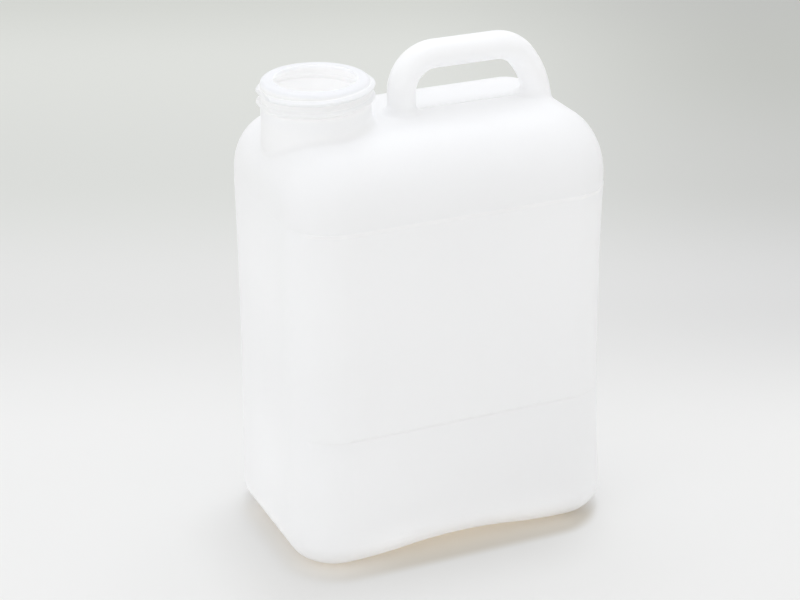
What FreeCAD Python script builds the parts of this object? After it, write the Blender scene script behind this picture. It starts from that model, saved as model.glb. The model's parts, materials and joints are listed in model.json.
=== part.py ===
"""Wide-necked plastic jerrycan, blow-moulded in one piece.

One hollow shell of natural polyethylene: a rounded body on an arched base, a wide threaded
neck near one end and an arched hollow handle behind it, both on the middle plane.

Millimetres. +Z is up, X runs along the long side with the neck towards -X, and the origin
lies on the floor under the middle of the body.
"""
import FreeCAD
import Part

import math
import os

from FreeCAD import Placement, Rotation, Vector

# --- driving dimensions -----------------------------------------------------------------------
# Body, outside
BODY_LENGTH = 289.6             # overall, where the base starts to round in
BODY_WIDTH = 185.0
BODY_HEIGHT = 365.5
END_RADIUS = 42.0               # upright corners, and the shoulder over each short side
SHOULDER_RADIUS = 55.0          # shoulder along each long side
NECK_END_WAIST = 2.7            # hollow of the short side under the neck at mid-height
NECK_END_FLARE = 0.2            # and how much further out its foot stands than its top
HANDLE_END_WAIST = 6.0
HANDLE_END_FLARE = 5.0
BASE_RADIUS = 23.5
FOOT_LENGTH = 44.0              # from either end to where the base starts to arch
ARCH_HEIGHT = 6.5               # the base stands clear of the floor between its two feet

# Band on the long sides, raised above the skin
BAND_ABOVE_FLOOR = 121.0
BAND_BELOW_TOP = 60.5
BAND_PROUD = 0.6
BAND_END_PROUD = 0.03           # what is left of it on the short sides
BAND_SLOPE = 3.0                # height over which its upper and lower edges run out

# Walls
BODY_WALL = 2.4
NECK_WALL = 2.8
HANDLE_WALL = 2.2

# Neck
NECK_INSET = 52.4               # its axis from the body's end
NECK_RADIUS = 44.7
NECK_RISE = 38.7                # from the body's top to the lip
NECK_ROOT_RADIUS = 7.0
LIP_BEND_RADIUS = 4.4           # outside, where the wall turns inwards as a flange
LIP_WIDTH = 10.7                # from the neck's outside to the mouth's edge

# Thread, right-handed
THREAD_DEPTH = 3.4
THREAD_PITCH = 9.75
THREAD_TURNS = 1.7
THREAD_BELOW_LIP = 3.6          # upper end of the ridge, at its middle line
THREAD_START_ANGLE = 8.0        # degrees about the neck, from +X
THREAD_FLANK_ANGLE = 30.0       # degrees from level
THREAD_CREST_RADIUS = 1.3
CREST_FLATS = 3
THREAD_RUN_OUT = 16.0           # degrees over which each end fades
THREAD_SEAM_DEPTH = 0.5         # what is left of the ridge where the mould's halves met
THREAD_HEADROOM = 2.6           # plain round rim above the ridge
HOLLOW_DEPTH = 1.5              # groove inside the neck, behind the ridge
HOLLOW_RADIUS = 2.0

# Handle, its centre line in the middle plane
HANDLE_GAP = 18.5               # between the neck and the front leg
HANDLE_RISE = 45.7              # grip above the body's top
HANDLE_REAR_INSET = 77.7        # end of the straight grip from the body's end
HANDLE_FRONT_BEND = 29.0
HANDLE_REAR_BEND = 30.0
HANDLE_REAR_BEND_TURN = 50.0    # degrees
HANDLE_REAR_SWEEP = 72.0        # radius of the long curve of the rear leg
HANDLE_REAR_SWEEP_TURN = 28.0   # degrees
HANDLE_THICKNESS = 23.5
HANDLE_BREADTH = 26.0
HANDLE_ROOT_RADIUS = 6.0

# Welds where the mould pinched the tube of plastic shut
WELD_WIDTH = 1.8
WELD_HEIGHT = 0.6
BASE_WELD_LENGTH = 140.0

# --- places that follow from them -------------------------------------------------------------
NECK_X = NECK_INSET - BODY_LENGTH / 2
NECK_TOP = BODY_HEIGHT + NECK_RISE
NECK_FOOT = BODY_HEIGHT - END_RADIUS
HANDLE_FRONT_X = NECK_X + NECK_RADIUS + HANDLE_GAP + HANDLE_THICKNESS / 2
HANDLE_GRIP_END_X = BODY_LENGTH / 2 - HANDLE_REAR_INSET
HANDLE_TOP = BODY_HEIGHT + HANDLE_RISE

# --- allowances for the working solids, no part of the can -------------------------------------
REACH = 400.0                   # how far cutting blocks run past it
TOUCH = 1e-3                    # a gap smaller than this is contact

# --- helpers ----------------------------------------------------------------------------------


def end_curve(side, inset, waist, flare):
    """Hollow, leaning outline of a short side, from the floor up to the level of the top."""
    def reach(share):
        return -flare * share - 4 * waist * share * (1 - share)

    edge = BODY_LENGTH / 2 - inset - reach(BASE_RADIUS / BODY_HEIGHT)
    points = [Vector(side * (edge + reach(share)), 0, share * BODY_HEIGHT) for share in (0.0, 0.5, 1.0)]
    return Part.Arc(*points)


def blank(inset, proud=0.0):
    """Upright block with rounded corners and shoulders, drawn in by a wall, out on its long sides."""
    half_y = BODY_WIDTH / 2 - inset + proud
    near = end_curve(-1, inset, NECK_END_WAIST, NECK_END_FLARE)
    far = end_curve(1, inset, HANDLE_END_WAIST, HANDLE_END_FLARE)
    outline = Part.Wire([
        far.toShape(),
        Part.makeLine(far.EndPoint, near.EndPoint),
        near.toShape(),
        Part.makeLine(near.StartPoint, far.StartPoint),
    ])
    outline.translate(Vector(0, -half_y, 0))
    block = Part.Face(outline).extrude(Vector(0, 2 * half_y, 0))
    block = block.common(Part.makeBox(2 * REACH, 2 * REACH, BODY_HEIGHT, Vector(-REACH, -REACH, -inset)))
    upper = [edge for edge in block.Edges if edge.BoundBox.ZMin > BODY_HEIGHT / 2]
    ridges = [edge for edge in upper if edge.BoundBox.YLength < TOUCH]
    block = block.makeFillet(SHOULDER_RADIUS - inset, ridges)
    ends = [face for face in block.Faces if face.BoundBox.XLength < END_RADIUS]
    rims = [edge for face in ends for edge in face.Edges if edge.BoundBox.ZMax > BODY_HEIGHT / 2]
    return block.makeFillet(END_RADIUS - inset, rims)


def arch_void(rise):
    """Everything below the arched base, its upper face lifted by a rise."""
    span, half_rise = (BODY_LENGTH / 2 - FOOT_LENGTH) / 2, ARCH_HEIGHT / 2
    radius = (span * span + half_rise * half_rise) / (2 * half_rise)
    turn = math.atan2(span, radius - half_rise) / 2
    run, lift = radius * math.sin(turn), radius * (1 - math.cos(turn))
    springing = Vector(-2 * span, 0, rise)
    haunch = Vector(-span, 0, rise + half_rise)
    foot_curve = Part.Arc(springing, springing + Vector(run, 0, lift), haunch)
    crown = Part.Arc(haunch, Vector(0, 0, rise + ARCH_HEIGHT), Vector(span, 0, haunch.z))
    far_springing = Vector(2 * span, 0, rise)
    far_curve = Part.Arc(crown.EndPoint, far_springing + Vector(-run, 0, lift), far_springing)
    below = Part.makePolygon([
        far_springing,
        Vector(REACH, 0, rise),
        Vector(REACH, 0, -REACH),
        Vector(-REACH, 0, -REACH),
        Vector(-REACH, 0, rise),
        springing,
    ])
    arch = [curve.toShape() for curve in (foot_curve, crown, far_curve)]
    face = Part.Face(Part.Wire(arch + below.Edges))
    face.translate(Vector(0, -REACH, 0))
    return face.extrude(Vector(0, 2 * REACH, 0))


def perimeter(solid, limit):
    """Edges round the faces that lie wholly under a height."""
    edges = [edge for face in solid.Faces if face.BoundBox.ZMax < limit for edge in face.Edges]
    return [edge for edge in edges if sum(edge.isSame(other) for other in edges) == 1]


def seam_edges(fused, first, second):
    """Edges of a union along which two of its solids meet."""
    seams = []
    for edge in fused.Edges:
        middle = Part.Vertex(edge.valueAt((edge.FirstParameter + edge.LastParameter) / 2))
        if all(middle.distToShape(solid.Shells[0])[0] < TOUCH for solid in (first, second)):
            seams.append(edge)
    return seams


def blended(first, second, radius):
    """Union of two solids with a soft fillet where they meet."""
    fused = first.fuse(second)
    return fused.makeFillet(radius, seam_edges(fused, first, second))


# --- the shell's skins ------------------------------------------------------------------------


def body_skin(inset):
    """Solid inside the body's outer face, or inside its inner face with the wall as inset."""
    body = blank(inset).cut(arch_void(inset))
    edges = perimeter(body, ARCH_HEIGHT + BASE_RADIUS)
    return body.makeFillet(BASE_RADIUS - inset, edges)


def neck_skin():
    """Upright cylinder through the shoulder, rounded over at the lip."""
    neck = Part.makeCylinder(NECK_RADIUS, NECK_TOP - NECK_FOOT, Vector(NECK_X, 0, NECK_FOOT))
    rim = [edge for edge in neck.Edges if edge.BoundBox.ZMin > NECK_TOP - TOUCH]
    return neck.makeFillet(LIP_BEND_RADIUS, rim)


def mouth_skin():
    """Hollow of the neck: a straight bore under the lip's flange, and the mouth through it."""
    bore, ceiling = NECK_RADIUS - NECK_WALL, NECK_TOP - NECK_WALL
    hollow = Part.makeCylinder(bore, ceiling - NECK_FOOT, Vector(NECK_X, 0, NECK_FOOT))
    rim = [edge for edge in hollow.Edges if edge.BoundBox.ZMin > ceiling - TOUCH]
    hollow = hollow.makeChamfer(LIP_BEND_RADIUS - NECK_WALL, rim)
    mouth = NECK_RADIUS - LIP_WIDTH
    return hollow.fuse(Part.makeCylinder(mouth, NECK_TOP - NECK_FOOT, Vector(NECK_X, 0, NECK_FOOT)))


def handle_path():
    """Centre line of the handle: up, over, along the grip and down the leaning rear leg."""
    foot = BODY_HEIGHT - HANDLE_THICKNESS / 2
    bend, turn = HANDLE_REAR_BEND, math.radians(HANDLE_REAR_BEND_TURN)
    sweep, last = HANDLE_REAR_SWEEP, turn + math.radians(HANDLE_REAR_SWEEP_TURN)
    rise = Vector(HANDLE_FRONT_X, 0, HANDLE_TOP - HANDLE_FRONT_BEND)
    over = Vector(HANDLE_FRONT_X + HANDLE_FRONT_BEND, 0, HANDLE_TOP)
    hinge = Vector(HANDLE_GRIP_END_X, 0, HANDLE_TOP - bend)
    pivot = hinge + Vector(math.sin(turn), 0, math.cos(turn)) * (bend - sweep)
    half = HANDLE_FRONT_BEND * math.sqrt(0.5)

    def on_bend(angle):
        return hinge + Vector(math.sin(angle), 0, math.cos(angle)) * bend

    def on_sweep(angle):
        return pivot + Vector(math.sin(angle), 0, math.cos(angle)) * sweep

    leg = on_sweep(last)
    down = Vector(math.cos(last), 0, -math.sin(last))
    return Part.Wire([
        Part.makeLine(Vector(HANDLE_FRONT_X, 0, foot), rise),
        Part.Arc(rise, Vector(over.x - half, 0, rise.z + half), over).toShape(),
        Part.makeLine(over, on_bend(0)),
        Part.Arc(on_bend(0), on_bend(turn / 2), on_bend(turn)).toShape(),
        Part.Arc(on_bend(turn), on_sweep((turn + last) / 2), leg).toShape(),
        Part.makeLine(leg, leg + down * ((leg.z - foot + HANDLE_THICKNESS / 2) / math.sin(last))),
    ])


def handle_skin(inset):
    """Oval tube along the handle's centre line, both ends inside the body."""
    path = handle_path()
    start = path.Edges[0].valueAt(path.Edges[0].FirstParameter)
    oval = Part.Ellipse(Vector(0, 0, 0), HANDLE_BREADTH / 2 - inset, HANDLE_THICKNESS / 2 - inset)
    section = Part.Wire(oval.toShape())
    section.Placement = Placement(start, Rotation(Vector(0, 0, 1), 90))
    return path.makePipeShell([section], True, False)


def spiral(base, rise, crest_radius):
    """Right-handed bar on a radius about the neck's axis, its crest rounded in narrow flats."""
    height = THREAD_PITCH * THREAD_TURNS
    lower_angle = THREAD_START_ANGLE - 360 * THREAD_TURNS
    flank = math.radians(THREAD_FLANK_ANGLE)
    root, crest = base - NECK_WALL / 2, base + rise
    shoulder = crest - crest_radius * (1 - math.sin(flank))
    half_root = crest_radius * math.cos(flank) + (shoulder - root) * math.tan(flank)
    foot = Vector(root, 0, -half_root)
    points = [foot]
    for share in range(CREST_FLATS + 1):
        turn = (math.pi / 2 - flank) * (2 * share / CREST_FLATS - 1)
        points.append(Vector(crest, 0, 0) + Vector(math.cos(turn) - 1, 0, math.sin(turn)) * crest_radius)
    profile = Part.makePolygon(points + [Vector(root, 0, half_root), foot])
    helix = Part.makeHelix(THREAD_PITCH, height, crest)
    bar = Part.Wire(helix.Edges).makePipeShell([profile], True, True)
    ends = ((0.0, 0.0, 1), (360 * THREAD_TURNS, height, -1))
    bar = bar.cut([run_out(base, rise, *end) for end in ends])
    start = Vector(NECK_X, 0, NECK_TOP - THREAD_BELOW_LIP - height)
    bar.Placement = Placement(start, Rotation(Vector(0, 0, 1), lower_angle))
    return bar


def run_out(base, rise, angle, lift, side):
    """Block that bevels one end of such a bar from its crest down past its foot."""
    sweep = math.radians(THREAD_RUN_OUT)
    sink = NECK_WALL / 4
    inner = Vector(base - sink, 0, 0)
    outer = Vector(math.cos(sweep), side * math.sin(sweep), 0) * (base + rise + sink)
    before = inner * 2 - outer
    face = Part.Face(Part.makePolygon([before, outer, outer * 2, before * 2, before]))
    block = face.extrude(Vector(0, 0, THREAD_PITCH))
    block.translate(Vector(0, 0, lift - THREAD_PITCH / 2))
    block.rotate(Vector(0, 0, 0), Vector(0, 0, 1), angle)
    return block


def thread():
    """Ridge of the thread, kept under the rim and cut low where the mould's halves met."""
    ridge = spiral(NECK_RADIUS, THREAD_DEPTH, THREAD_CREST_RADIUS)
    flat = NECK_RADIUS + THREAD_SEAM_DEPTH
    top = NECK_TOP - THREAD_HEADROOM
    return ridge.common(Part.makeBox(2 * flat, 2 * REACH, top, Vector(NECK_X - flat, -REACH, 0)))


def thread_hollow():
    """Groove behind the ridge, where the wall was blown out into it, from under the lip down."""
    bar = spiral(NECK_RADIUS - NECK_WALL, HOLLOW_DEPTH, HOLLOW_RADIUS)
    under = NECK_TOP - LIP_BEND_RADIUS
    return bar.common(Part.makeBox(2 * REACH, 2 * REACH, under, Vector(-REACH, -REACH, 0)))


def band():
    """Raised zone of the long sides, its level edges sloped; on the short sides it hardly shows."""
    face, skin = BODY_WIDTH / 2 + BAND_PROUD, BODY_WIDTH / 2 - BAND_END_PROUD
    low, high = BAND_ABOVE_FLOOR, BODY_HEIGHT - BAND_BELOW_TOP
    half = [(skin, low), (face, low + BAND_SLOPE), (face, high - BAND_SLOPE), (skin, high)]
    around = half + [(-y, z) for y, z in reversed(half)]
    points = [Vector(-REACH, y, z) for y, z in around]
    zone = Part.Face(Part.makePolygon(points + points[:1])).extrude(Vector(2 * REACH, 0, 0))
    return blank(-BAND_END_PROUD, BAND_PROUD - BAND_END_PROUD).common(zone)


def welds():
    """Pinched ridges, one on top between the handle's feet and one under the arched base."""
    side = -WELD_WIDTH / 2
    reach = HANDLE_GRIP_END_X + HANDLE_REAR_BEND - HANDLE_FRONT_X
    corner = Vector(HANDLE_FRONT_X, side, BODY_HEIGHT - BODY_WALL / 2)
    top = Part.makeBox(reach, WELD_WIDTH, WELD_HEIGHT + BODY_WALL / 2, corner)
    corner = Vector(-BASE_WELD_LENGTH / 2, side, 0)
    under = Part.makeBox(BASE_WELD_LENGTH, WELD_WIDTH, ARCH_HEIGHT + BODY_WALL, corner)
    under = under.common(arch_void(BODY_WALL / 2)).cut(arch_void(-WELD_HEIGHT))
    return [top, under]


# --- the piece --------------------------------------------------------------------------------


def jerrycan_shell():
    """The whole can: outer skin less inner skin, with its lip, thread, band and welds."""
    outer = blended(body_skin(0.0), neck_skin(), NECK_ROOT_RADIUS)
    outer = blended(outer, handle_skin(0.0), HANDLE_ROOT_RADIUS)
    outer = outer.fuse([band()] + welds())
    inner = body_skin(BODY_WALL).fuse([mouth_skin(), handle_skin(HANDLE_WALL)])
    return outer.cut(inner).fuse(thread()).cut(thread_hollow()).removeSplitter()


os.makedirs("parts", exist_ok=True)
jerrycan_shell().exportStep("parts/jerrycan_shell.step")
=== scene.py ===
"""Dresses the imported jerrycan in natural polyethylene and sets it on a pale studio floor.

Every length is in metres, in the frame of the CAD model: +Z up, the neck towards -X, the
origin on the floor under the middle of the body.
"""
from __future__ import annotations

import json
import logging
import math
from dataclasses import dataclass
from enum import Enum
from typing import Any

import bpy
import numpy as np
from mathutils import Matrix, Vector

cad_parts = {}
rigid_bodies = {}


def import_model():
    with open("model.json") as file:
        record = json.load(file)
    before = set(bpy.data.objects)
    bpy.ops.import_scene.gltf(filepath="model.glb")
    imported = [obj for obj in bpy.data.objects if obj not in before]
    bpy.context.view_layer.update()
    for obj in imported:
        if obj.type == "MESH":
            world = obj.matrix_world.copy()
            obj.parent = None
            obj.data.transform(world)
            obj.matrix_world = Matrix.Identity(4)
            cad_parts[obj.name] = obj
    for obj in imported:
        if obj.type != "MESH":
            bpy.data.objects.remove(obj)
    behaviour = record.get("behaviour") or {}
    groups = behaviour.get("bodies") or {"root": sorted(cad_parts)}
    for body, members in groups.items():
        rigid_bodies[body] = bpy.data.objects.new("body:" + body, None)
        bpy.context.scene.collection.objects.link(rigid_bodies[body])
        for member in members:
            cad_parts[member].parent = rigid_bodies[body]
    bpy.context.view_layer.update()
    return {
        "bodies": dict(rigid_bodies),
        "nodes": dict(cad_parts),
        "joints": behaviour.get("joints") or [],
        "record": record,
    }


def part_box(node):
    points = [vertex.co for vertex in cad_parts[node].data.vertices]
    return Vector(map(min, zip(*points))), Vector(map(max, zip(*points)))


LOG = logging.getLogger("jerrycan")
SHELL_NODE = "jerrycan_shell"
MM_PER_METRE = 1000.0

Colour = tuple[float, float, float]
Point = tuple[float, float, float]
Zone = tuple[float, float]  # where a smooth step begins and where it is complete

VIEW_YAW = math.radians(24.133)  # from the long side towards the neck's end
MILKY_LIGHT: Colour = (0.99, 0.99, 1.0)  # daylight after its way through the walls


# --- shader graphs ------------------------------------------------------------------------------


class Graph:
    """A node tree that is filled by short calls."""

    def __init__(self, tree: bpy.types.NodeTree) -> None:
        """Keeps the tree and empties it.

        Args:
            tree: The node tree of a material, a world or a group.
        """
        self.tree = tree
        tree.nodes.clear()

    def add(self, kind: str, **settings: Any) -> bpy.types.Node:
        """Adds a node.

        Args:
            kind: The node's type, such as "ShaderNodeMath".
            **settings: Properties of the node, set by name.

        Returns:
            The new node.
        """
        node = self.tree.nodes.new(kind)
        for name, value in settings.items():
            setattr(node, name, value)
        return node

    def feed(self, socket: bpy.types.NodeSocket, value: Any) -> None:
        """Links an output to an input socket, or writes a plain value there.

        Args:
            socket: The input socket.
            value: An output socket, a number, or the numbers of a vector or colour.
        """
        if isinstance(value, bpy.types.NodeSocket):
            self.tree.links.new(value, socket)
        else:
            socket.default_value = value

    def math(self, operation: str, *values: Any, clamp: bool = False) -> bpy.types.NodeSocket:
        """Adds a Math node.

        Args:
            operation: The node's operation, such as "MULTIPLY".
            *values: What goes into its inputs, sockets or numbers.
            clamp: Whether the result is kept between 0 and 1.

        Returns:
            The result's socket.
        """
        node = self.add("ShaderNodeMath", operation=operation, use_clamp=clamp)
        for socket, value in zip(node.inputs, values):
            self.feed(socket, value)
        return node.outputs[0]

    def ramp(self, value: Any, start: float, end: float) -> bpy.types.NodeSocket:
        """Smooth step of a value from 0 at start to 1 at end.

        Args:
            value: The value's socket.
            start: Where the step begins.
            end: Where it is complete.

        Returns:
            The step's socket.
        """
        node = self.add("ShaderNodeMapRange", interpolation_type="SMOOTHSTEP")
        self.feed(node.inputs["Value"], value)
        self.feed(node.inputs["From Min"], start)
        self.feed(node.inputs["From Max"], end)
        return node.outputs["Result"]

    def mix(self, factor: Any, first: Any, second: Any) -> bpy.types.NodeSocket:
        """Blends two colours.

        Args:
            factor: 0 for the first colour, 1 for the second.
            first: A colour or its socket.
            second: A colour or its socket.

        Returns:
            The blended colour's socket.
        """
        node = self.add("ShaderNodeMix", data_type="RGBA")
        self.feed(node.inputs["Factor"], factor)
        for name, value in (("A", first), ("B", second)):
            socket = next(s for s in node.inputs if s.name == name and s.type == "RGBA")
            self.feed(socket, (*value, 1.0) if isinstance(value, tuple) else value)
        return next(s for s in node.outputs if s.type == "RGBA")

    def place(self) -> bpy.types.NodeSocket:
        """The socket of the piece's Object coordinates."""
        return self.add("ShaderNodeTexCoord").outputs["Object"]

    def axes(self, vector: bpy.types.NodeSocket) -> tuple[bpy.types.NodeSocket, ...]:
        """Splits a vector.

        Args:
            vector: The vector's socket.

        Returns:
            The sockets of its three parts.
        """
        node = self.add("ShaderNodeSeparateXYZ")
        self.tree.links.new(vector, node.inputs[0])
        return tuple(node.outputs)

    def length(self, *parts: Any) -> bpy.types.NodeSocket:
        """Length of a flat vector.

        Args:
            *parts: The sockets of its two parts.

        Returns:
            The length's socket.
        """
        squares = [self.math("POWER", part, 2.0) for part in parts]
        return self.math("SQRT", self.math("ADD", *squares))

    def bump(self, shader: bpy.types.Node, height: bpy.types.NodeSocket) -> None:
        """Gives a shader small relief.

        Args:
            shader: The Principled BSDF.
            height: The relief's height, in metres.
        """
        node = self.add("ShaderNodeBump")
        node.inputs["Distance"].default_value = 1.0
        self.feed(node.inputs["Height"], height)
        self.feed(shader.inputs["Normal"], node.outputs["Normal"])

    def noise(self, vector: Any, scale: float, detail: float) -> bpy.types.NodeSocket:
        """Adds a noise pattern.

        Args:
            vector: Where it is read.
            scale: Waves in a metre.
            detail: How many finer layers it has.

        Returns:
            The pattern's socket, about 0 to 1.
        """
        node = self.add("ShaderNodeTexNoise")
        self.feed(node.inputs["Vector"], vector)
        self.feed(node.inputs["Scale"], scale)
        self.feed(node.inputs["Detail"], detail)
        return node.outputs[0]


def new_material(name: str) -> tuple[bpy.types.Material, Graph, bpy.types.Node]:
    """Makes a material with a Principled BSDF at its output.

    Args:
        name: The material's name.

    Returns:
        The material, its graph and the Principled BSDF.
    """
    material = bpy.data.materials.new(name)
    material.use_nodes = True
    graph = Graph(material.node_tree)
    shader = graph.add("ShaderNodeBsdfPrincipled")
    output = graph.add("ShaderNodeOutputMaterial")
    graph.tree.links.new(shader.outputs[0], output.inputs["Surface"])
    return material, graph, shader


class FineGrain:
    """Node group of the fine tooth and slow unevenness of a moulded or rolled surface."""

    NAME = "fine_grain"
    SETTINGS = ("Grain scale", "Grain depth", "Wave scale", "Wave depth")

    @classmethod
    def group(cls) -> bpy.types.NodeTree:
        """The group, made once.

        Returns:
            The node group, with Vector, Grain scale, Grain depth, Wave scale and Wave depth in
            and Height out, in metres.
        """
        if cls.NAME in bpy.data.node_groups:
            return bpy.data.node_groups[cls.NAME]
        tree = bpy.data.node_groups.new(cls.NAME, "ShaderNodeTree")
        graph = Graph(tree)
        tree.interface.new_socket("Vector", in_out="INPUT", socket_type="NodeSocketVector")
        for name in cls.SETTINGS:
            tree.interface.new_socket(name, in_out="INPUT", socket_type="NodeSocketFloat")
        tree.interface.new_socket("Height", in_out="OUTPUT", socket_type="NodeSocketFloat")
        inlet = graph.add("NodeGroupInput")
        outlet = graph.add("NodeGroupOutput")
        vector = inlet.outputs["Vector"]
        grain = graph.noise(vector, 0.0, 2.0)
        graph.feed(grain.node.inputs["Scale"], inlet.outputs["Grain scale"])
        wave = graph.noise(vector, 0.0, 1.0)
        graph.feed(wave.node.inputs["Scale"], inlet.outputs["Wave scale"])
        fine = graph.math("MULTIPLY", grain, inlet.outputs["Grain depth"])
        height = graph.math("MULTIPLY_ADD", wave, inlet.outputs["Wave depth"], fine)
        graph.feed(outlet.inputs["Height"], height)
        return tree

    @classmethod
    def height(cls, graph: Graph, vector: Any, grain: tuple[float, float],
               wave: tuple[float, float] = (0.0, 0.0)) -> bpy.types.NodeSocket:
        """Places the group in a material.

        Args:
            graph: The material's graph.
            vector: Where the pattern is read.
            grain: Scale and depth of the fine tooth.
            wave: Scale and depth of the slow unevenness.

        Returns:
            The height's socket, in metres.
        """
        node = graph.add("ShaderNodeGroup", node_tree=cls.group())
        graph.feed(node.inputs["Vector"], vector)
        for name, value in zip(cls.SETTINGS, grain + wave):
            node.inputs[name].default_value = value
        return node.outputs["Height"]


# --- finishes -----------------------------------------------------------------------------------


@dataclass(frozen=True)
class NaturalPolyethylene:
    """Milky unpigmented polyethylene with a satin skin from the mould."""

    body: Colour = (0.947, 0.951, 0.962)
    roughness: float = 0.44  # the least of it; the patches add to it
    patches: tuple[float, float] = (30.0, 0.08)  # scale, and how much they add at most
    refraction: float = 1.54
    glow: float = 1.0
    glow_depth: float = 0.004
    glow_radius: Colour = (1.0, 1.0, 1.0)
    grain: tuple[float, float] = (1400.0, 0.00002)
    wave: tuple[float, float] = (14.0, 0.0008)

    # Neck, by distance from its axis and by height: painted shade on its wall, the thread's
    # crests, the inside and the lip, and painted light at the thread's roots.
    neck: Colour = (0.905, 0.908, 0.915)
    neck_margin: Zone = (1.12, 1.02)  # shares of its radius
    neck_blend: float = 0.012
    # Painted shade inside the mouth.
    neck_inside_shade: Colour = (0.915, 0.917, 0.92)
    neck_wall: Zone = (0.0048, 0.0058)  # depth under the thread's crest
    thread_root_light: Colour = (0.985, 0.986, 0.988)
    thread_crest_shade: Colour = (0.875, 0.88, 0.89)
    thread_zone: Zone = (0.024, 0.019)  # below the lip
    crest_zone: Zone = (0.0165, 0.0125)  # below the lip
    crest_rise: Zone = (1.0, 0.6)  # shares of the thread's reach, under its crest
    # Painted shade on the lip's lit top.
    lip: Colour = (0.84, 0.845, 0.865)
    lip_zone: Zone = (0.004, 0.001)  # below the lip's top

    # Legs of the handle, by height above the body: painted light, a lighter tone that lifts their
    # shaded sides.
    handle_legs_light: Colour = (0.99, 0.99, 0.995)
    handle_low: Zone = (0.001, 0.009)
    handle_high: Zone = (0.037, 0.024)

    # Seam on the middle plane, and the edges of the raised band; a painted highlight line runs
    # under the band's upper edge.
    seam_width: float = 0.0006
    seam_height: float = 0.0002
    band_low: float = 0.1215
    band_high: float = 0.3045
    ledge_highlight: Colour = (1.0, 1.0, 1.0)
    ledge_rise: float = 0.0015
    ledge_depth: float = 0.0003
    ledge_sides: Zone = (0.070, 0.086)

    def material(self, neck: Point, neck_radius: float, thread_reach: float,
                 neck_root: float) -> bpy.types.Material:
        """Makes the material.

        Args:
            neck: The mouth's middle.
            neck_radius: Radius of the neck with its thread.
            thread_reach: How far the thread stands out from the neck.
            neck_root: Height at which the neck leaves the body.

        Returns:
            The material.
        """
        material, graph, shader = new_material("natural_polyethylene")
        vector = graph.place()
        x, y, z = graph.axes(vector)
        off_plane = graph.math("ABSOLUTE", y)
        on_sides = graph.ramp(off_plane, *self.ledge_sides)
        # Painted light on the handle's legs: a lighter tone between the two heights.
        legs = graph.math("MULTIPLY",
                          graph.ramp(z, *(neck_root + rise for rise in self.handle_low)),
                          graph.ramp(z, *(neck_root + rise for rise in self.handle_high)))
        plastic = graph.mix(legs, self.body, self.handle_legs_light)
        from_axis = graph.length(graph.math("SUBTRACT", x, neck[0]), y)
        beside = graph.ramp(from_axis, *(neck_radius * share for share in self.neck_margin))
        above = graph.ramp(z, neck_root - self.neck_blend, neck_root + self.neck_blend)
        # Painted light and shade on the neck, blended in above the body.
        tones = self.neck_tones(graph, z, from_axis, above, neck[2], neck_radius, thread_reach)
        plastic = graph.mix(graph.math("MULTIPLY", beside, above), plastic, tones)
        # Painted highlight: a pale line just under the band's upper edge, on the long sides.
        edge, rise = self.band_high, self.ledge_rise
        over = graph.math("MULTIPLY", graph.ramp(z, edge + rise, edge),
                          graph.ramp(z, edge - 2.0 * rise, edge - rise))
        plastic = graph.mix(graph.math("MULTIPLY", over, on_sides), plastic, self.ledge_highlight)
        graph.feed(shader.inputs["Base Color"], plastic)
        scale, depth = self.patches
        rough = graph.math("MULTIPLY_ADD", graph.noise(vector, scale, 2.0), depth, self.roughness)
        graph.feed(shader.inputs["Roughness"], rough)
        shader.subsurface_method = "RANDOM_WALK"
        shader.inputs["Subsurface Weight"].default_value = self.glow
        shader.inputs["Subsurface Radius"].default_value = self.glow_radius
        shader.inputs["Subsurface Scale"].default_value = self.glow_depth
        shader.inputs["IOR"].default_value = self.refraction
        skin = FineGrain.height(graph, vector, self.grain, self.wave)
        seam = graph.ramp(off_plane, self.seam_width, 0.0)
        height = graph.math("MULTIPLY_ADD", seam, self.seam_height, skin)
        ledge = graph.ramp(z, self.band_low, self.band_low + self.ledge_rise)
        band = graph.math("MULTIPLY", ledge, on_sides)
        graph.bump(shader, graph.math("MULTIPLY_ADD", band, self.ledge_depth, height))
        return material

    def neck_tones(self, graph: Graph, z: Any, from_axis: Any, above: Any, lip: float,
                   neck_radius: float, thread_reach: float) -> bpy.types.NodeSocket:
        """Painted light and shade of the neck: a greyer wall, lighter thread roots, darker crests,
        a darker inside and lip.

        Args:
            graph: The material's graph.
            z: The height's socket.
            from_axis: Distance from the neck's axis.
            above: 0 in the body, 1 in the neck.
            lip: Height of the lip's top.
            neck_radius: Radius of the neck with its thread.
            thread_reach: How far the thread stands out from the neck.

        Returns:
            The colour's socket.
        """
        def below_lip(zone: Zone) -> bpy.types.NodeSocket:
            """Smooth step between two depths below the lip."""
            return graph.ramp(z, *(lip - drop for drop in zone))

        # Painted shade and light: the wall greyer than the body, the threaded part lighter towards
        # the roots.
        wall = graph.mix(below_lip(self.thread_zone), self.neck, self.thread_root_light)
        # Painted shade on the upper thread's crests, toning down their lit upper flanks.
        ridge = graph.ramp(from_axis,
                           *(neck_radius - share * thread_reach for share in self.crest_rise))
        crest = graph.math("MULTIPLY", ridge, below_lip(self.crest_zone))
        wall = graph.mix(crest, wall, self.thread_crest_shade)
        # Painted shade inside the mouth: a darker tone on the inner wall.
        within = graph.ramp(from_axis, *(neck_radius - depth for depth in self.neck_wall))
        wall = graph.mix(graph.math("MULTIPLY", within, above), wall, self.neck_inside_shade)
        # Painted shade on the lip: a darker, lilac tone that tones down its lit top.
        return graph.mix(below_lip(self.lip_zone), wall, self.lip)


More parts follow.
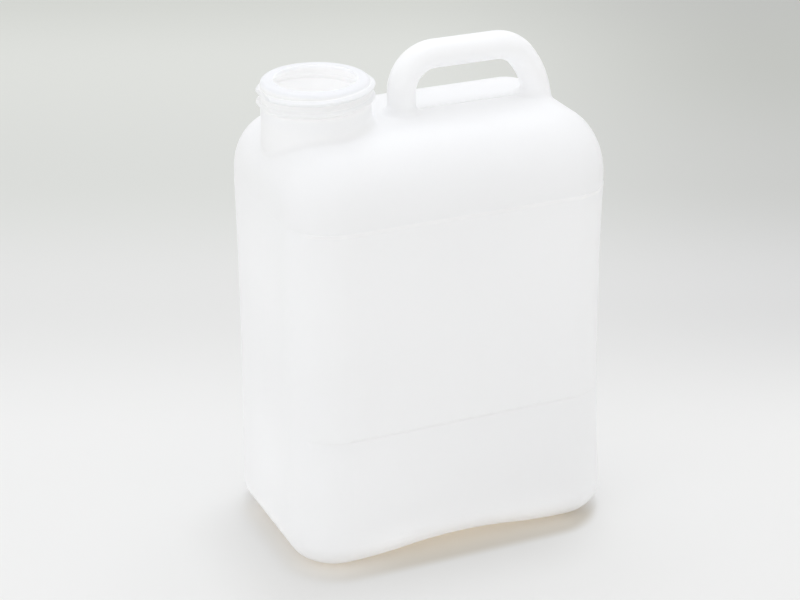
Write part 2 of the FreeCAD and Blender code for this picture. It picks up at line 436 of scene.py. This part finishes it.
@dataclass(frozen=True)
class StudioPaper:
    """Matt pale paper that greys with distance, with a painted shadow, a painted shade halo and a
    painted glow round the can's foot.
    """

    left: tuple[tuple[float, Colour], ...] = (
        (0.10, (0.868, 0.863, 0.848)),
        (0.44, (0.775, 0.772, 0.755)),
        (0.80, (0.705, 0.712, 0.68)),
        (1.26, (0.745, 0.753, 0.715)),
        (1.60, (0.68, 0.69, 0.65)),
    )
    right: tuple[tuple[float, Colour], ...] = (
        (0.10, (0.868, 0.863, 0.848)),
        (0.44, (0.705, 0.702, 0.692)),
        (0.80, (0.595, 0.597, 0.575)),
        (1.26, (0.555, 0.562, 0.53)),
        (1.60, (0.55, 0.555, 0.53)),
    )
    reach: float = 1.6
    side: Zone = (-0.05, 0.52)
    far: Colour = (0.58, 0.585, 0.56)
    far_zone: Zone = (2.0, 4.5)
    roughness: float = 0.9
    sheen: float = 0.1
    grain: tuple[float, float] = (900.0, 0.00001)

    # Painted round the foot: a warm shadow strip on the near side, a wide halo of shade, and a
    # glow of warm light under the can.
    corner: float = 0.05
    shadow_strip_tone: Colour = (0.66, 0.625, 0.565)
    shadow_strip_shift: tuple[float, float] = (-0.008, -0.012)
    shadow_strip_edge: float = 0.007
    shadow_strip_fade: Zone = (-0.17, -0.03)
    shadow_strip_least: float = 0.1
    shadow_strip_front: Zone = (0.012, -0.035)
    painted_glow: Colour = (0.27, 0.24, 0.20)
    painted_glow_full: float = 0.006
    shadow_halo: Colour = (0.80, 0.793, 0.775)
    shadow_halo_shift: tuple[float, float] = (-0.045, -0.045)
    shadow_halo_edge: float = 0.04

    def fade(self, graph: Graph, distance: Any,
             stops: tuple[tuple[float, Colour], ...]) -> bpy.types.NodeSocket:
        """Colour of the paper by distance.

        Args:
            graph: The material's graph.
            distance: The distance behind the can, as a share of the reach.
            stops: Distances with the colour at each.

        Returns:
            The colour's socket.
        """
        node = graph.add("ShaderNodeValToRGB")
        node.color_ramp.interpolation = "EASE"
        for _ in stops[2:]:
            node.color_ramp.elements.new(0.5)
        for element, (place, colour) in zip(node.color_ramp.elements, stops):
            element.position = place / self.reach
            element.color = (*colour, 1.0)
        graph.feed(node.inputs["Fac"], distance)
        return node.outputs["Color"]

    def past_foot(self, graph: Graph, place: tuple[Any, Any], foot: tuple[float, float],
                  shift: tuple[float, float]) -> bpy.types.NodeSocket:
        """Distance past a rectangle that stands one corner radius inside the can's outline.

        Args:
            graph: The material's graph.
            place: The sockets of x and y.
            foot: Half of the can's length and half of its width.
            shift: How far the rectangle is moved from the origin.

        Returns:
            The distance's socket, equal to the corner radius on the outline itself.
        """
        past = []
        for axis, half, middle in zip(place, foot, shift):
            off = graph.math("ABSOLUTE", graph.math("SUBTRACT", axis, middle))
            over = graph.math("SUBTRACT", off, half - self.corner)
            past.append(graph.math("MAXIMUM", over, 0.0))
        return graph.length(*past)

    def material(self, half_length: float, half_width: float) -> bpy.types.Material:
        """Makes the material.

        Args:
            half_length: Half of the can's length, for the painted shade round its foot.
            half_width: Half of its width.

        Returns:
            The material.
        """
        material, graph, shader = new_material("studio_paper")
        vector = graph.place()
        x, y, _ = graph.axes(vector)
        sine, cosine = math.sin(VIEW_YAW), math.cos(VIEW_YAW)
        behind = graph.math("ADD", graph.math("MULTIPLY", x, sine),
                            graph.math("MULTIPLY", y, cosine))
        beside = graph.math("SUBTRACT", graph.math("MULTIPLY", x, cosine),
                            graph.math("MULTIPLY", y, sine))
        share = graph.math("DIVIDE", behind, self.reach, clamp=True)
        paper = graph.mix(graph.ramp(beside, *self.side),
                          self.fade(graph, share, self.left), self.fade(graph, share, self.right))
        paper = graph.mix(graph.ramp(graph.length(x, y), *self.far_zone), paper, self.far)
        foot = (half_length, half_width)
        # Painted shade: a wide grey halo round the foot, set off towards the front and the neck's
        # end.
        wide = self.past_foot(graph, (x, y), foot, self.shadow_halo_shift)
        shadow_halo = graph.ramp(wide, self.corner + self.shadow_halo_edge, self.corner - self.shadow_halo_edge)
        paper = graph.mix(shadow_halo, paper, self.shadow_halo)
        # Painted shadow: a warm strip along the near side of the foot, weakest at the neck's end
        # and gone on the far side of the can.
        near = self.past_foot(graph, (x, y), foot, self.shadow_strip_shift)
        strip_outer, strip_inner = self.corner + self.shadow_strip_edge, self.corner - self.shadow_strip_edge
        strip = graph.math("MULTIPLY", graph.ramp(behind, *self.shadow_strip_front),
                           graph.ramp(near, strip_outer, strip_inner))
        depth = graph.math("MULTIPLY_ADD", graph.ramp(x, *self.shadow_strip_fade),
                           1.0 - self.shadow_strip_least, self.shadow_strip_least)
        paper = graph.mix(graph.math("MULTIPLY", strip, depth), paper, self.shadow_strip_tone)
        graph.feed(shader.inputs["Base Color"], paper)
        # Painted glow: emission on the paper round and under the foot stands in for light that
        # comes through the can's milky bottom.
        under = graph.ramp(near, strip_outer, self.painted_glow_full)
        graph.feed(shader.inputs["Emission Color"], graph.mix(under, (0.0, 0.0, 0.0), self.painted_glow))
        shader.inputs["Emission Strength"].default_value = 1.0
        shader.inputs["Roughness"].default_value = self.roughness
        shader.inputs["Specular IOR Level"].default_value = self.sheen
        graph.bump(shader, FineGrain.height(graph, vector, self.grain))
        return material


# --- the can ------------------------------------------------------------------------------------


class Hollow(Enum):
    """The can's hollows, each with a light of its own."""

    BODY = "body_glow"
    NECK = "neck_glow"
    HANDLE = "handle_glow"


@dataclass
class JerrycanShell:
    """The one moulded piece: body, threaded neck and handle."""

    finish: NaturalPolyethylene = NaturalPolyethylene()
    lip_width: float = 0.0107
    thread_reach: float = 0.0034
    neck_rise: float = 0.0387
    handle_corners: tuple[tuple[float, float], ...] = (
        (-0.0174, 0.0510), (-0.0174, 0.0320), (0.0026, 0.0118),
        (0.0671, 0.0118), (0.0901, 0.0225), (0.1053, 0.0538),
    )
    handle_steps: int = 12
    body_hearts: tuple[Point, ...] = ((-0.09, 0.0, 0.25), (-0.10, 0.0, 0.075), (0.085, 0.0, 0.265))
    neck_heart_drop: float = 0.022

    def dress(self, frame: dict[str, Any]) -> bpy.types.Object:
        """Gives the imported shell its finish.


        Returns:
            The shell's object.
        """
        x, y, lip, mouth_radius = self.mouth(frame)
        neck_radius = mouth_radius + self.lip_width + self.thread_reach
        material = self.finish.material((x, y, lip), neck_radius, self.thread_reach,
                                        lip - self.neck_rise)
        shell = frame["nodes"][SHELL_NODE]
        for slot in shell.material_slots:
            slot.material = material
        return shell

    def mouth(self, frame: dict[str, Any]) -> tuple[float, float, float, float]:
        """Reads the mouth's place and size from the record.

        Args:
            frame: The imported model.

        Returns:
            x and y of its middle, the height of the lip's top, and its radius.
        """
        mouth = next(mount for mount in frame["record"]["mounts"] if mount["name"] == "mouth")
        x, y, z = mouth["pos_m"]
        lip = z + mouth["dims"]["length_mm"] / (2.0 * MM_PER_METRE)
        return x, y, lip, mouth["dims"]["r_mm"] / MM_PER_METRE

    def hollows(self, frame: dict[str, Any]) -> dict[Hollow, list[Point]]:
        """Where the light inside each hollow sits.

        Args:
            frame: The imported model.

        Returns:
            For each hollow its points.
        """
        x, y, lip, _ = self.mouth(frame)
        return {
            Hollow.BODY: list(self.body_hearts),
            Hollow.NECK: [(x, y, lip - self.neck_heart_drop)],
            Hollow.HANDLE: self.handle_line(),
        }

    def handle_line(self) -> list[Point]:
        """Points at even steps along the middle of the handle's tube.

        The line runs straight between its corners, each given by x and its drop below the
        handle's top; a step's place is read off by the length run so far.

        Returns:
            The points, from the handle's front foot to its rear foot.
        """
        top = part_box(SHELL_NODE)[1][2]
        across, drop = np.array(self.handle_corners).T
        run = np.concatenate([[0.0], np.cumsum(np.hypot(np.diff(across), np.diff(drop)))])
        steps = np.linspace(0.0, run[-1], self.handle_steps)
        places = zip(np.interp(steps, run, across), np.interp(steps, run, top - drop))
        return [(float(x), 0.0, float(z)) for x, z in places]


# --- the studio ---------------------------------------------------------------------------------


def hang_light(name: str, kind: str, power: float, colour: Colour) -> bpy.types.Object:
    """Adds a lamp to the scene.

    Args:
        name: The lamp's name.
        kind: Its type, such as "AREA".
        power: Its power, or for the sun its strength.
        colour: Its colour.

    Returns:
        The lamp's object, at the origin.
    """
    light = bpy.data.lights.new(name, kind)
    light.energy = power
    light.color = colour
    lamp = bpy.data.objects.new(name, light)
    bpy.context.scene.collection.objects.link(lamp)
    return lamp


def facing(aim: Vector, position: Point = (0.0, 0.0, 0.0)) -> Matrix:
    """Place and turn of a lamp or camera.

    Args:
        aim: The way that it looks.
        position: Where it stands.

    Returns:
        The matrix.
    """
    return Matrix.Translation(position) @ aim.to_track_quat("-Z", "Y").to_matrix().to_4x4()


class Lamp(Enum):
    """The studio's lamps, by what each does for the can."""

    KEY = "key_lamp"
    LEFT = "left_box"
    REAR = "rear_box"
    FOOT = "foot_strip"


@dataclass(frozen=True)
class KeyLamp:
    """A far lamp almost straight overhead, for the narrow shadow round the can's foot."""

    lean: tuple[float, float] = (0.027, 0.040)
    spread: float = math.radians(3.0)
    strength: float = 0.22
    colour: Colour = (0.82, 0.88, 1.0)

    def hang(self) -> bpy.types.Object:
        """Makes the lamp; it leans to the right and the rear by the given slopes.

        Returns:
            The lamp's object.
        """
        lamp = hang_light(Lamp.KEY.value, "SUN", self.strength, self.colour)
        lamp.data.angle = self.spread
        lamp.matrix_world = facing(Vector((-self.lean[0], -self.lean[1], -1.0)))
        return lamp


@dataclass(frozen=True)
class SoftBox:
    """A rectangular area lamp turned to a point."""

    lamp: Lamp
    position: Point
    target: Point
    size: tuple[float, float]
    power: float
    colour: Colour

    def hang(self) -> bpy.types.Object:
        """Makes the lamp.

        Returns:
            The lamp's object.
        """
        lamp = hang_light(self.lamp.value, "AREA", self.power, self.colour)
        lamp.data.shape = "RECTANGLE"
        lamp.data.size, lamp.data.size_y = self.size
        lamp.matrix_world = facing(Vector(self.target) - Vector(self.position), self.position)
        return lamp


@dataclass(frozen=True)
class InnerGlow:
    """The light that milky walls let into a hollow, as soft balls of light."""

    hollow: Hollow
    radius: float
    power: float
    tint: Colour = MILKY_LIGHT

    def hang(self, places: list[Point]) -> list[bpy.types.Object]:
        """Makes the lamps.

        Args:
            places: Where they hang.

        Returns:
            The lamps' objects.
        """
        lamps = []
        for number, place in enumerate(places):
            lamp = hang_light(f"{self.hollow.value}_{number}", "POINT", self.power, self.tint)
            lamp.data.shadow_soft_size = self.radius
            lamp.location = place
            lamps.append(lamp)
        return lamps


@dataclass(frozen=True)
class FootGlow:
    """Light that milky walls carry down to the rounded foot, as four strips in the hollow."""

    inset: float = 0.022
    slim: float = 0.008
    corner_gap: float = 0.05
    power: float = 0.06  # a metre
    tint: Colour = MILKY_LIGHT

    def strips(self) -> list[SoftBox]:
        """One strip inside each wall, turned outwards and down.

        Returns:
            The strips.
        """
        _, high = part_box(SHELL_NODE)
        strips = []
        for out in (Vector((1, 0, 0)), Vector((-1, 0, 0)), Vector((0, 1, 0)), Vector((0, -1, 0))):
            half, along = (high.x, high.y) if out.x else (high.y, high.x)
            place = out * (half - self.inset) + Vector((0, 0, self.inset))
            length = 2.0 * (along - self.corner_gap)
            strips.append(SoftBox(Lamp.FOOT, tuple(place), tuple(place + out - Vector((0, 0, 1))),
                                  (length, self.slim), self.power * length, self.tint))
        return strips


@dataclass
class Studio:
    """Floor, sky and lamps round the can."""

    paper: StudioPaper = StudioPaper()
    floor_radius: float = 9.0
    floor_drop: float = 0.0003
    rings: int = 40
    spokes: int = 96
    zenith: Colour = (1.0, 1.0, 1.0)
    horizon: Colour = (0.97, 0.97, 0.97)
    shown: Colour = (0.54, 0.545, 0.52)
    sky_strength: float = 0.88
    sky_zone: Zone = (-0.1, 1.0)
    key: KeyLamp = KeyLamp()
    boxes: tuple[SoftBox, ...] = (
        SoftBox(Lamp.REAR, (0.3, 0.6, 1.7), (0.0, 0.0, 0.2), (1.0, 0.8), 3.0, (0.88, 0.92, 1.0)),
        SoftBox(Lamp.LEFT, (-1.7, -0.5, 1.0), (0.0, 0.0, 0.2), (1.0, 1.0), 2.0, (0.86, 0.92, 1.0)),
    )
    glows: tuple[InnerGlow, ...] = (
        InnerGlow(Hollow.BODY, 0.05, 0.062),
        InnerGlow(Hollow.NECK, 0.03, 0.020, (1.0, 0.99, 0.97)),
        InnerGlow(Hollow.HANDLE, 0.006, 0.00092),
    )
    foot: FootGlow = FootGlow()

    def floor(self, half_length: float, half_width: float) -> bpy.types.Object:
        """Lays the floor: a disc of rings and spokes, each ring wider than the last.

        A point is radius * (cos(angle), sin(angle)); the radius grows with the square of the
        ring's share, so the rings are close together under the can.

        Args:
            half_length: Half of the can's length.
            half_width: Half of its width.

        Returns:
            The floor's object.
        """
        share = np.linspace(0.0, 1.0, self.rings + 1)[1:, None]
        angle = np.linspace(0.0, 2.0 * math.pi, self.spokes, endpoint=False)[None, :]
        radius = self.floor_radius * share ** 2
        points = np.stack([radius * np.cos(angle), radius * np.sin(angle),
                           np.full(radius.shape[:1] + angle.shape[1:], -self.floor_drop)], axis=-1)
        centre = np.array([[0.0, 0.0, -self.floor_drop]])
        vertices = np.concatenate([centre, points.reshape(-1, 3)])
        ring, spoke = np.meshgrid(np.arange(self.rings - 1), np.arange(self.spokes), indexing="ij")
        beside = (spoke + 1) % self.spokes
        inner, outer = 1 + ring * self.spokes, 1 + (ring + 1) * self.spokes
        quads = np.stack([inner + spoke, outer + spoke, outer + beside, inner + beside], axis=-1)
        first = np.arange(self.spokes)
        hub = np.stack([np.zeros_like(first), 1 + first, 1 + (first + 1) % self.spokes], axis=-1)
        mesh = bpy.data.meshes.new("studio_floor")
        mesh.from_pydata(vertices, [], hub.tolist() + quads.reshape(-1, 4).tolist())
        mesh.materials.append(self.paper.material(half_length, half_width))
        floor = bpy.data.objects.new("studio_floor", mesh)
        bpy.context.scene.collection.objects.link(floor)
        return floor

    def sky(self) -> bpy.types.World:
        """Makes the dome of light: brighter overhead than at the horizon, plain to the camera.

        Returns:
            The world.
        """
        world = bpy.data.worlds.new("studio_sky")
        world.use_nodes = True
        graph = Graph(world.node_tree)
        direction = graph.add("ShaderNodeTexCoord").outputs["Generated"]
        _, _, up = graph.axes(direction)
        dome = graph.mix(graph.ramp(up, *self.sky_zone), self.horizon, self.zenith)
        lit = graph.add("ShaderNodeBackground")
        graph.feed(lit.inputs["Color"], dome)
        lit.inputs["Strength"].default_value = self.sky_strength
        seen = graph.add("ShaderNodeBackground")
        seen.inputs["Color"].default_value = (*self.shown, 1.0)
        choice = graph.add("ShaderNodeMixShader")
        path = graph.add("ShaderNodeLightPath")
        output = graph.add("ShaderNodeOutputWorld")
        graph.feed(choice.inputs[0], path.outputs["Is Camera Ray"])
        graph.feed(choice.inputs[1], lit.outputs[0])
        graph.feed(choice.inputs[2], seen.outputs[0])
        graph.feed(output.inputs["Surface"], choice.outputs[0])
        bpy.context.scene.world = world
        return world


@dataclass(frozen=True)
class Viewpoint:
    """A camera that circles a point of the can at a distance."""

    target: Point = (-0.0019, 0.0, 0.16)
    distance: float = 1.934
    yaw: float = VIEW_YAW
    pitch: float = math.radians(24.863)
    lens: float = 101.25
    shift: tuple[float, float] = (-0.02336, 0.04469)

    def stand(self) -> bpy.types.Object:
        """Makes the camera and gives it to the scene.

        Returns:
            The camera's object.
        """
        flat = math.cos(self.pitch)
        away = Vector((-math.sin(self.yaw) * flat, -math.cos(self.yaw) * flat,
                       math.sin(self.pitch)))
        position = Vector(self.target) + away * self.distance
        data = bpy.data.cameras.new("camera")
        data.lens = self.lens
        data.shift_x, data.shift_y = self.shift
        camera = bpy.data.objects.new("camera", data)
        camera.matrix_world = facing(-away, position)
        bpy.context.scene.collection.objects.link(camera)
        bpy.context.scene.camera = camera
        return camera


def main() -> None:
    """Dresses the can, builds the studio round it and reports each piece."""
    logging.basicConfig(level=logging.INFO, format="%(name)s: %(message)s")
    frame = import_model()
    can = JerrycanShell()
    LOG.info("dressed %s", can.dress(frame).name)
    _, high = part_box(SHELL_NODE)
    studio = Studio()
    LOG.info("laid %s", studio.floor(high.x, high.y).name)
    LOG.info("lit by %s", studio.sky().name)
    for lamp in (studio.key, *studio.boxes, *studio.foot.strips()):
        LOG.info("hung %s", lamp.hang().name)
    hollows = can.hollows(frame)
    for glow in studio.glows:
        LOG.info("hung %s with %d lamps", glow.hollow.value, len(glow.hang(hollows[glow.hollow])))
    LOG.info("placed %s", Viewpoint().stand().name)
    bpy.context.scene.view_settings.view_transform = "Standard"


if __name__ == "__main__":
    main()
